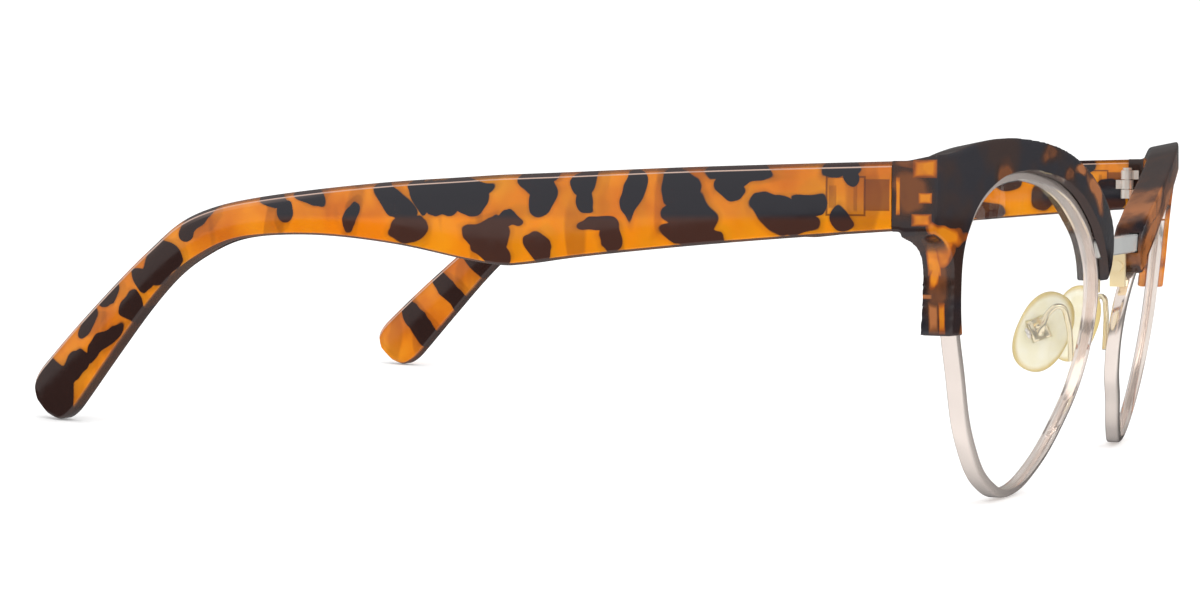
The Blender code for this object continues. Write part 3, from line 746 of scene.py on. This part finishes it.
LEFT_TEMPLE_SPOTS = in_view("side", (
    (14.0, -3.6, 2.6, 2.9, 0), (20.0, 0.6, 3.4, 1.6, 0), (25.5, -4.8, 2.2, 2.6, 20),
    (32.0, -0.5, 2.9, 2.8, 0), (36.0, -6.6, 3.9, 1.6, 10), (43.5, -2.0, 2.0, 3.6, 15),
    (49.5, -7.6, 3.3, 2.1, 0), (55.0, -1.1, 4.2, 1.7, 0), (61.5, -6.6, 2.8, 3.0, 30),
    (69.0, -1.6, 2.4, 2.0, 0), (70.5, -9.2, 3.0, 1.6, 0), (77.0, -5.0, 2.1, 3.2, -20),
    (85.5, -2.3, 3.6, 1.6, 0), (88.0, -7.2, 2.0, 1.6, 0), (95.5, -5.1, 1.6, 3.2, 12),
    (104.0, -3.9, 3.2, 1.5, -8), (109.0, -7.4, 2.4, 1.4, 0), (114.0, -5.3, 1.6, 2.0, 0),
    (121.0, -11.2, 2.2, 5.0, -45), (127.2, -16.8, 2.2, 5.6, -42), (133.6, -22.8, 2.2, 6.0, -40),
    (139.9, -29.0, 2.0, 6.4, -36)))

# The brows' rust patches, their clear windows and the dim, soft-edged areas.  The right brow's
# outer end and drop and its nasal patch follow the photo; most of the left brow is invented.
RIGHT_RUST = (
    in_view("front", ((30.5, 0.9, 2.6, 0.9, -8), (23.6, -2.0, 5.6, 1.5, 31), (60.4, -16.0, 0.9, 3.6, 0)))
    + in_view("block", ((7.45, -16.9, 0.6, 1.9, 0), (8.3, -14.3, 0.9, 0.3, 0))))
# RIGHT_CLEAR's narrow block at (10.4, -2.05) is a painted highlight line near the butt joint, not a
# clear window.
RIGHT_CLEAR = (
    in_view("side", ((5.4, -6.7, 1.1, 1.9, -20), (6.1, -8.6, 1.2, 1.8, 12), (7.2, -11.6, 0.6, 2.0, 10)))
    + in_view("block", (
        (7.15, 1.2, 1.42, 1.05, 0), (10.4, -2.05, 0.24, 2.2, 0), (7.05, -2.3, 0.8, 0.62, 0),
        (7.5, -4.9, 1.2, 0.72, 0), (7.15, -9.4, 0.8, 2.3, 0), (6.4, -16.9, 0.38, 1.9, 0))))
RIGHT_VEILED = (
    in_view("side", ((9.0, -1.8, 3.2, 3.0, 0), (8.6, 1.4, 2.8, 0.9, 0), (6.8, -12.5, 1.6, 6.2, 0)))
    + in_view("front", ((41.5, 2.7, 3.4, 1.2, 0), (53.5, 0.4, 2.2, 2.2, 0), (35.0, 0.2, 2.0, 1.0, 0))))

LEFT_RUST = in_view("front", (
    (15.6, -4.6, 5.6, 1.7, 30), (13.5, -9.2, 7.0, 2.6, 36), (25.5, -4.2, 7.5, 1.9, 22),
    (39.0, -0.4, 6.2, 1.6, 5), (51.0, 0.2, 5.0, 1.4, 0), (11.2, -12.8, 2.0, 2.0, 0)))
LEFT_CLEAR = (
    in_view("front", ((61.2, -3.0, 2.2, 2.8, 0), (61.4, -11.4, 2.4, 5.2, 0), (61.2, -17.8, 2.2, 2.2, 0)))
    + in_view("block", ((7.15, 1.2, 1.42, 1.05, 0), (7.5, -4.9, 1.2, 0.72, 0))))
LEFT_VEILED = in_view("front", ((24.0, -5.4, 22.0, 4.6, 26), (62.0, -11.0, 3.0, 9.0, 0)))

right_temple_acetate = temple_acetate("acetate_temple_right", RIGHT_TEMPLE_SPOTS)
left_temple_acetate = temple_acetate("acetate_temple_left", LEFT_TEMPLE_SPOTS, wobble=2.4)
right_brow_acetate = brow_acetate(
    "acetate_brow_right", RIGHT_RUST, RIGHT_CLEAR, RIGHT_VEILED, mirror=True)
left_brow_acetate = brow_acetate("acetate_brow_left", LEFT_RUST, LEFT_CLEAR, LEFT_VEILED)
champagne = metal("champagne_plating", (0.93, 0.82, 0.755), 0.11, metallic=0.80, grain=(1.5, 3.0, 1.5))
silver = metal(
    "silver_satin", (0.80, 0.81, 0.79), 0.12, metallic=0.40, grain=(0.3, 0.8, 0.8), contrast=0.08)
gold = metal("gold_plating", (0.98, 0.86, 0.62), 0.12, metallic=0.82)
lug_gold = metal("gold_satin", (1.0, 0.83, 0.52), 0.18, metallic=0.45)
steel = metal("screw_steel", (0.84, 0.79, 0.73), 0.22, metallic=0.60)
lens_plastic = lens_material()
silicone = pad_material()


# ---------------------------------------------------------------- rims and lenses

rim_loop = outline_loop(RIM_OUTLINE, RIM_STEPS)


def corner(centre, radius, start, count=4):
    """Points of a quarter circle in (inset, depth), from the start angle on."""
    angles = [start + math.radians(90) * i / (count - 1) for i in range(count)]
    return [(centre[0] + radius * math.cos(a), centre[1] + radius * math.sin(a)) for a in angles]


def make_rim():
    """A closed ring with rounded outer edges, a V groove inside and the split at the lock."""
    half = RIM_DEPTH / 2
    section = corner((RIM_ROUND, RIM_DEPTH - RIM_ROUND), RIM_ROUND, math.radians(90))
    section += corner((RIM_ROUND, RIM_ROUND), RIM_ROUND, math.radians(180))
    section += [(RIM_WIDTH - RIM_BREAK, 0.0), (RIM_WIDTH, RIM_BREAK), (RIM_WIDTH, half - GROOVE),
                (RIM_WIDTH - GROOVE, half), (RIM_WIDTH, half + GROOVE),
                (RIM_WIDTH, RIM_DEPTH - RIM_BREAK), (RIM_WIDTH - RIM_BREAK, RIM_DEPTH)]
    rim = ring_sweep("rim", rim_loop, section)
    split = box("rim_split", (56, 0, SPLIT_Z - SPLIT_GAP / 2), (66, 12, SPLIT_Z + SPLIT_GAP / 2))
    return combine(rim, [split], "DIFFERENCE")


def make_lens():
    """A thin curved lens whose V-shaped edge sits in the rim's groove."""
    half = RIM_DEPTH / 2
    face = half - LENS_THICK / 2
    centre = Vector((LENS_U - 2.0, LENS_Z))
    full = inset(rim_loop, RIM_WIDTH + 0.2)
    shares = (0.03, 0.2, 0.4, 0.6, 0.8, 0.92, 1.0)
    rings = [([centre.lerp(p, share) for p in full], face) for share in shares]
    rings.append((inset(rim_loop, RIM_WIDTH - GROOVE + FIT_GAP), half))
    rings += [(points, RIM_DEPTH - face) for points, depth in reversed(rings[:len(shares)])]
    return loft("lens", [on_lens_plane(points, depth) for points, depth in rings])


# ---------------------------------------------------------------- brows

def top_share(z):
    """1 in the brow's upper part, fading to 0 in the drop."""
    return min(max((z + 9.0) / 4.0, 0.0), 1.0)


def brow_depth(z):
    """How far the brow reaches behind the lens plane: a little less in the drop."""
    return BROW_REAR - BROW_THINNING * (1 - top_share(z))


def curved_slab():
    """The brow's blank: front and rear faces that follow the lens plane."""
    step = 0.8
    columns = [6.0 + step * i for i in range(81)]
    rows = [-20.5 + step * i for i in range(35)]
    bm = bmesh.new()
    front = []
    rear = []
    for u in columns:
        front.append([bm.verts.new((u, front_y(u, z) - brow_lip(u), z)) for z in rows])
        rear.append([bm.verts.new((u, front_y(u, z) + brow_depth(z), z)) for z in rows])
    for i in range(len(columns) - 1):
        for j in range(len(rows) - 1):
            for sheet in (front, rear):
                bm.faces.new((sheet[i][j], sheet[i + 1][j], sheet[i + 1][j + 1], sheet[i][j + 1]))
    for j in range(len(rows) - 1):
        for i in (0, -1):
            bm.faces.new((front[i][j], front[i][j + 1], rear[i][j + 1], rear[i][j]))
    for i in range(len(columns) - 1):
        for j in (0, -1):
            bm.faces.new((front[i][j], front[i + 1][j], rear[i + 1][j], rear[i][j]))
    return mesh_object("brow", bm)


def round_edges(obj, width):
    bevel = obj.modifiers.new("rounded", "BEVEL")
    bevel.width = width
    bevel.segments = 4
    bevel.limit_method = "ANGLE"
    return settle(obj)


def polish(obj):
    """Voxel remesh and smoothing: the soft edges of tumbled acetate."""
    remesh = obj.modifiers.new("remesh", "REMESH")
    remesh.mode = "VOXEL"
    remesh.voxel_size = BROW_VOXEL
    smooth = obj.modifiers.new("polish", "SMOOTH")
    smooth.factor = 0.5
    smooth.iterations = POLISH_ROUNDS
    return settle(obj)


def slope_top(obj):
    """The brow's top falls away behind its front face."""
    for vertex in obj.data.vertices:
        co = vertex.co
        behind = max(co.y - front_y(co.x, co.z) + brow_lip(co.x), 0.0)
        co.z -= BROW_SLOPE * behind * top_share(co.z)
    return obj


def opening_bevel():
    """The bevel round the opening's front edge, widest at its outer upper corner."""
    outward = inset(rim_loop, -1.0)
    edge = []
    for point, outer in zip(rim_loop, outward):
        reach = (point - OPENING_CORNER).length_squared
        edge.append(point.lerp(outer, 0.25 + 0.9 * math.exp(-reach / 40.0)))
    hub = inset(rim_loop, 4.0)
    foot = inset(rim_loop, BROW_OVERLAP - 0.05)
    rings = ((edge, -CUT_DEPTH), (hub, -CUT_DEPTH), (hub, 0.0), (foot, 0.0), (edge, -CUT_DEPTH))
    return closed_ring("opening_bevel", [on_lens_plane(points, depth) for points, depth in rings])


def make_brow():
    """The brow, cut for the rim, its lock, the bridge and the lug."""
    blank = combine(curved_slab(), [prism("brow_outline", BROW_OUTLINE)], "INTERSECT")
    blank = slope_top(settle(blank))
    end = box("end_piece", (63.6, 7.0, -6.35), (OUTER_U, BUTT_Y + 0.6, 2.15))
    body = polish(combine(blank, [end], "UNION", "EXACT"))
    gap = FIT_GAP
    trim = box("butt_trim", (50, BUTT_Y, -30), (80, 20, 20))
    opening = prism("opening", RIM_OUTLINE, offset=-BROW_OVERLAP)
    seat = ((-gap, -gap), (RIM_WIDTH, -gap), (RIM_WIDTH, RIM_DEPTH + gap), (-gap, RIM_DEPTH + gap))
    groove = ring_sweep("groove", rim_loop, seat)
    lock = box("rim_lock_pocket", (59.0, 5.15, SPLIT_Z - 2.3), (63.9, 12.0, SPLIT_Z + 2.9))
    slot = box("bridge_slot", (0, BRIDGE_FRONT - gap, BRIDGE_Z - BRIDGE_HALF - gap),
               (18.5, BRIDGE_FRONT + 1.2 + gap, BRIDGE_Z + BRIDGE_HALF + gap))
    lug = cylinder("lug_bore", (5.0, LUG_Y, LUG_Z), (11.45, LUG_Y, LUG_Z), 0.65)
    return settle(combine(body, [trim, opening, opening_bevel(), groove, lock, slot, lug], "DIFFERENCE"))


# ---------------------------------------------------------------- temples

def temple_outer(y):
    """The outer face's u at a depth: the temple is toed in."""
    return OUTER_U - (y - BUTT_Y) * math.tan(TOE_IN)


def temple_thickness(y):
    """The sheet thins evenly from the butt joint to the tip."""
    return TEMPLE_THICK - (TEMPLE_THICK - TIP_THICK) * (y - BUTT_Y) / (TIP_Y - BUTT_Y)


def edge_points(half, thickness, chamfer, soft):
    """The chamfered edge from the outer face over the top to the inner face."""
    flat = half - chamfer
    side = CROWN + chamfer
    outer = [(flat - 0.12, CROWN - 0.01), (flat, CROWN), (flat + soft * 0.7, CROWN + soft * 0.3),
             (half - soft * 0.5, side - soft * 0.4), (half, side + soft)]
    inner = [(a, thickness - b) for a, b in reversed(outer)]
    return outer + [(half, thickness / 2)] + inner


def temple_section(height, thickness):
    """Section as (across, inwards): the faces a little crowned, the lower chamfer the smaller one."""
    half = height / 2
    chamfer = min(CHAMFER, height * 0.2)
    low_chamfer = chamfer * LOWER_SHARE
    low = -(half - low_chamfer)
    span = half - chamfer - low
    across = [low + span * k / 10 for k in range(1, 10)]
    outer = [(a, CROWN * (a / half) ** 2) for a in across]
    inner = [(a, thickness - CROWN * (a / half) ** 2) for a in reversed(across)]
    top = edge_points(half, thickness, chamfer, min(0.16, chamfer * 0.3))
    bottom = edge_points(half, thickness, low_chamfer, min(0.12, chamfer * 0.25))
    return outer + top + inner + [(-a, b) for a, b in reversed(bottom)]


def make_temple():
    """A chamfered section swept along smooth lines through the ribs' ends."""
    tops = [Vector(rib[0]) for rib in TEMPLE_RIBS]
    bottoms = [Vector(rib[1]) for rib in TEMPLE_RIBS]
    rings = []
    for k in range(STATIONS + 1):
        top = catmull_rom(tops, k / STATIONS)
        bottom = catmull_rom(bottoms, k / STATIONS)
        middle = (top + bottom) / 2
        upwards = (top - bottom).normalized()
        ring = []
        for a, inwards in temple_section((top - bottom).length, temple_thickness(middle.x)):
            spot = middle + upwards * a
            ring.append(Vector((temple_outer(spot.x) - inwards, spot.x, spot.y)))
        rings.append(ring)
    return loft("temple", rings)


# ---------------------------------------------------------------- hinges

def knuckle(middle):
    """One knuckle of the barrel with its neck into the acetate; the pin's bore comes later."""
    low = HINGE_Z + middle - KNUCKLE_H / 2
    high = HINGE_Z + middle + KNUCKLE_H / 2
    side = 1 if middle == 0 else -1
    neck = sorted((HINGE_Y, HINGE_Y + side * 1.9))
    web = box("neck", (HINGE_U, neck[0], low), (INNER_U + 0.5, neck[1], high))
    ends = [(HINGE_U, HINGE_Y, z) for z in (low, high)]
    barrel = cylinder("knuckle", *ends, KNUCKLE_RADIUS, sides=40)
    return settle(combine(barrel, [web], "UNION"))


def make_rivet(z):
    """A round-headed rivet through the end piece, its head on the leaf's side."""
    shank = cylinder("rivet", (INNER_U - 0.1, RIVET_Y, z), (INNER_U + 2.8, RIVET_Y, z), 0.5)
    head = cylinder("rivet_head", (INNER_U - 0.28, RIVET_Y, z), (INNER_U + 0.04, RIVET_Y, z), 0.8)
    return settle(combine(shank, [head], "UNION"))


def make_hinge():
    """The leaves lie inside the acetate, so that only the barrel and the rivet heads stand out."""
    bore = cylinder("bore", *[(HINGE_U, HINGE_Y, HINGE_Z + reach) for reach in (-5, 5)], PIN_BORE)
    low = HINGE_Z - LEAF_HALF
    high = HINGE_Z + LEAF_HALF
    front = box("hinge_front", (LEAF_NEAR_U, 5.9, low), (LEAF_FAR_U, 9.9, high))
    front = settle(combine(front, [knuckle(1.6), knuckle(-1.6)], "UNION"))
    fold = box("hinge_temple", (LEAF_NEAR_U, 12.6, low), (LEAF_FAR_U, 19.6, high))
    pivot = Matrix.Translation((HINGE_U, HINGE_Y, 0))
    fold.data.transform(pivot @ Matrix.Rotation(TOE_IN, 4, "Z") @ pivot.inverted())
    fold = settle(combine(fold, [knuckle(0)], "UNION"))
    return {"hinge_front": combine(front, [bore], "DIFFERENCE"),
            "hinge_temple": combine(fold, [bore], "DIFFERENCE"),
            "hinge_rivet_upper": make_rivet(HINGE_Z + RIVET_SPREAD),
            "hinge_rivet_lower": make_rivet(HINGE_Z - RIVET_SPREAD)}


# ---------------------------------------------------------------- nose pads

def make_pad():
    """A soft oval pad, slightly domed, with a rolled edge."""
    levels = ((0.30, -0.42), (0.72, -0.44), (0.90, -0.42), (0.97, -0.32), (1.0, -0.12), (1.0, 0.10),
              (0.965, 0.30), (0.89, 0.42), (0.70, 0.48), (0.35, 0.50))
    points = 72
    squareness = 0.86
    rings = []
    for grow, height in levels:
        ring = []
        for i in range(points):
            c = math.cos(math.tau * i / points)
            s = math.sin(math.tau * i / points)
            ring.append(Vector((math.copysign(abs(c) ** squareness, c) * grow * PAD_LENGTH / 2,
                                math.copysign(abs(s) ** squareness, s) * grow * PAD_WIDTH / 2,
                                height * PAD_THICK)))
        rings.append(ring)
    pad = loft("nose_pad", rings)
    turn = Matrix.Rotation(PAD_SLANT, 4, "Z")
    pad.data.transform(pad_frame() @ Matrix.Translation(PAD_OFFSET) @ turn)
    room = CUP_HALF + Vector((SEAT_GAP, SEAT_GAP))
    seat = box("pad_seat", (-room.x, -room.y, -1), (room.x, room.y, PAD_BACK + 0.6))
    seat.data.transform(pad_frame())
    return settle(combine(pad, [seat], "DIFFERENCE"))


def make_pad_insert():
    """The bright cup in the pad's back, slotted for the arm's eye, and the domed screw."""
    cup = box("pad_insert", (-CUP_HALF.x, -CUP_HALF.y, -0.6), (CUP_HALF.x, CUP_HALF.y, PAD_BACK + 0.45))
    cup = round_edges(cup, 0.32)
    slot = box("pad_insert_slot", (-0.55, -2, -2), (0.55, 2, 1.0))
    bore = cylinder("pad_insert_bore", (-3, 0, 0), (3, 0, 0), PAD_BORE)
    cup = settle(combine(cup, [slot, bore], "DIFFERENCE"))
    shank = cylinder("pad_screw", (-1.25, 0, 0), (1.5, 0, 0), 0.45)
    head = round_edges(cylinder("pad_screw_head", (1.35, 0, 0), (1.9, 0, 0), 0.8), 0.2)
    screw = settle(combine(shank, [head], "UNION", "EXACT"))
    for piece in (cup, screw):
        piece.data.transform(pad_frame())
    return cup, screw


def make_pad_arm():
    """The bent wire from the rim to the pad, with the eye on the pad's screw."""
    frame_of_pad = pad_frame()
    entry = [frame_of_pad @ Vector((0, 0.3, -depth)) for depth in (2.6, 1.5, 0.7)]
    path = (Vector((10.6, 3.0, -25.9)), Vector((11.2, 3.0, -22.9)), Vector((12.0, 3.2, -20.2)),
            Vector((13.1, 4.0, -18.2)), Vector((13.7, 5.4, -19.0)), *entry)
    data = bpy.data.curves.new("pad_arm", "CURVE")
    data.dimensions = "3D"
    data.resolution_u = 10
    data.bevel_depth = WIRE_RADIUS
    data.bevel_resolution = 4
    data.use_fill_caps = True
    spline = data.splines.new("BEZIER")
    spline.bezier_points.add(len(path) - 1)
    for knot, point in zip(spline.bezier_points, path):
        knot.co = point
        knot.handle_left_type = "AUTO"
        knot.handle_right_type = "AUTO"
    wire = bpy.data.objects.new("pad_arm", data)
    workshop.objects.link(wire)
    wire = settle(wire)
    eye = round_edges(cylinder("pad_arm_eye", (-EYE_HALF, 0, 0), (EYE_HALF, 0, 0), EYE_RADIUS), 0.3)
    hole = cylinder("pad_arm_hole", (-2, 0, 0), (2, 0, 0), PAD_BORE)
    for tool in (eye, hole):
        tool.data.transform(frame_of_pad)
    combine(wire, [eye], "UNION", "EXACT")
    return combine(wire, [hole], "DIFFERENCE", "EXACT")


# ---------------------------------------------------------------- assembly

brow = make_brow()
temple = make_temple()
rim = make_rim()
lens = make_lens()
pad = make_pad()
arm = make_pad_arm()
insert, pad_screw = make_pad_insert()
hinge = make_hinge()
acetates = {"right": (right_brow_acetate, right_temple_acetate),
            "left": (left_brow_acetate, left_temple_acetate)}

for side_name, side in SIDES:
    brow_finish, temple_finish = acetates[side_name]
    on_temple = "temple_" + side_name
    on_pad = "pad_" + side_name
    pieces = [
        (brow, "brow", brow_finish, "front", "tortoiseshell_acetate", 40),
        (temple, "temple", temple_finish, on_temple, "tortoiseshell_acetate", 40),
        (rim, "rim", champagne, "front", "champagne_metal", 40),
        (lens, "lens", lens_plastic, "front", "lens_clear", 25),
        (pad, "nose_pad", silicone, on_pad, "pad_silicone", 40),
        (insert, "pad_insert", gold, on_pad, "gold_metal", 40),
        (pad_screw, "pad_screw", steel, on_pad, "screw_steel", 40),
        (arm, "pad_arm", gold, "front", "gold_metal", 40)]
    for base, piece in hinge.items():
        body = on_temple if base == "hinge_temple" else "front"
        pieces.append((piece, base, steel, body, "screw_steel", 30))
    for piece, base, finish, body, slot, sharp in pieces:
        place(piece, base, finish, side_name, side, body, slot, sharp)

NODE_FINISHES = (
    ("bridge", silver), ("rim_block", champagne), ("rim_screw", steel), ("brow_lug", lug_gold),
    ("brow_screw", lug_gold), ("hinge", steel))
for name, obj in nodes.items():
    for prefix, finish in NODE_FINISHES:
        if name.startswith(prefix):
            obj.data.materials.clear()
            obj.data.materials.append(finish)

for tool in list(workshop.objects):
    bpy.data.objects.remove(tool)
bpy.data.collections.remove(workshop)


# ---------------------------------------------------------------- floor, light and camera

RIM_FOOT_Y = 7.0
TIP_FOOT_Y = 143.4
FLOOR_GAP = 0.2
OPEN_SKY = 1.12
SKY_BANDS = (
    (0.0, 0.95), (0.30, 0.95), (0.38, 0.10), (0.4650, 0.08), (0.4664, 0.62), (0.60, 0.80),
    (0.93, 0.90), (0.975, 0.10), (1.0, 0.06))
CAMERA_PLACE = Vector((-349.6, -77.3, 2.84))
CAMERA_AZIMUTH = math.radians(24.24)
CAMERA_DIP = math.radians(3.387)
CAMERA_LENS = 73.5


def make_floor():
    """A pale floor that touches the rims' undersides and the temple tips."""
    rim_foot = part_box("rim_right")[0][2]
    tip_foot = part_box("temple_right")[0][2]
    slope = (tip_foot - rim_foot) / ((TIP_FOOT_Y - RIM_FOOT_Y) * MM)
    bpy.ops.mesh.primitive_plane_add(size=12.0)
    floor = bpy.context.object
    floor.name = "floor"
    floor.location = (0, DATUM.y + RIM_FOOT_Y * MM, rim_foot - FLOOR_GAP * MM)
    floor.rotation_euler = (math.atan(slope), 0, 0)
    shader = Shader("floor_white")
    where = shader.node("ShaderNodeTexCoord").outputs["Object"]
    grain = shader.noise(where, 8.0)
    shader.set(
        Base_Color=shader.mix(grain, (0.90, 0.90, 0.90), (0.93, 0.93, 0.93)),
        Roughness=0.9,
        Specular_IOR_Level=0.0,
        Emission_Color=(1.0, 1.0, 1.0, 1.0),
        Emission_Strength=0.16)
    floor.data.materials.append(shader.material)
    floor.visible_glossy = False


def make_world():
    """White all round, but reflections see a studio: a bright wall and table on the camera's side,
    a dark gap between them, a dark ceiling, and little light from the far side."""
    world = bpy.data.worlds.new("studio")
    scene.world = world
    world.use_nodes = True
    sky = Nodes(world.node_tree)
    x, _, z = sky.split(sky.node("ShaderNodeTexCoord").outputs["Generated"])
    places, levels = zip(*SKY_BANDS)
    height = sky.remap(z, -1.0, 1.0, kind="LINEAR")
    bands = sky.ramp(height, places, [(level, level, level) for level in levels])
    seen = sky.times(bands, sky.remap(x, 0.0, 0.9, 1.0, 0.18, kind="LINEAR"))
    path = sky.node("ShaderNodeLightPath")
    reflected = sky.math("SUBTRACT", 1.0, path.outputs["Is Transmission Ray"])
    mirrored = sky.times(path.outputs["Is Glossy Ray"], reflected)
    choice = sky.node("ShaderNodeMix", data_type="FLOAT")
    sky.feed(choice.inputs["Factor"], mirrored)
    sky.feed(choice.inputs[2], OPEN_SKY)
    sky.feed(choice.inputs[3], seen)
    background = sky.tree.nodes["Background"]
    sky.feed(background.inputs["Color"], choice.outputs[0])
    sky.feed(background.inputs["Strength"], 1.0)


def make_lamp(name, where, size, power):
    lamp = bpy.data.lights.new(name, "AREA")
    lamp.energy = power
    lamp.size = size
    obj = bpy.data.objects.new(name, lamp)
    obj.location = where
    obj.rotation_euler = (Vector((0, 0, 0.02)) - Vector(where)).to_track_quat("-Z", "Y").to_euler()
    scene.collection.objects.link(obj)


def make_camera():
    """The photo's camera: at the wearer's right, a little ahead of the front, level with the brows."""
    level = math.cos(CAMERA_DIP)
    forward = Vector((level * math.cos(CAMERA_AZIMUTH), level * math.sin(CAMERA_AZIMUTH),
                      -math.sin(CAMERA_DIP)))
    data = bpy.data.cameras.new("camera")
    data.sensor_fit = "HORIZONTAL"
    data.sensor_width = 36.0
    data.lens = CAMERA_LENS
    data.clip_start = 0.01
    camera = bpy.data.objects.new("camera", data)
    camera.location = CAMERA_PLACE * MM + DATUM
    camera.rotation_euler = forward.to_track_quat("-Z", "Y").to_euler()
    scene.collection.objects.link(camera)
    scene.camera = camera


make_floor()
make_world()
make_lamp("key", (-0.5, -0.6, 0.8), 0.8, 2.5)
make_camera()
scene.view_settings.view_transform = "Standard"
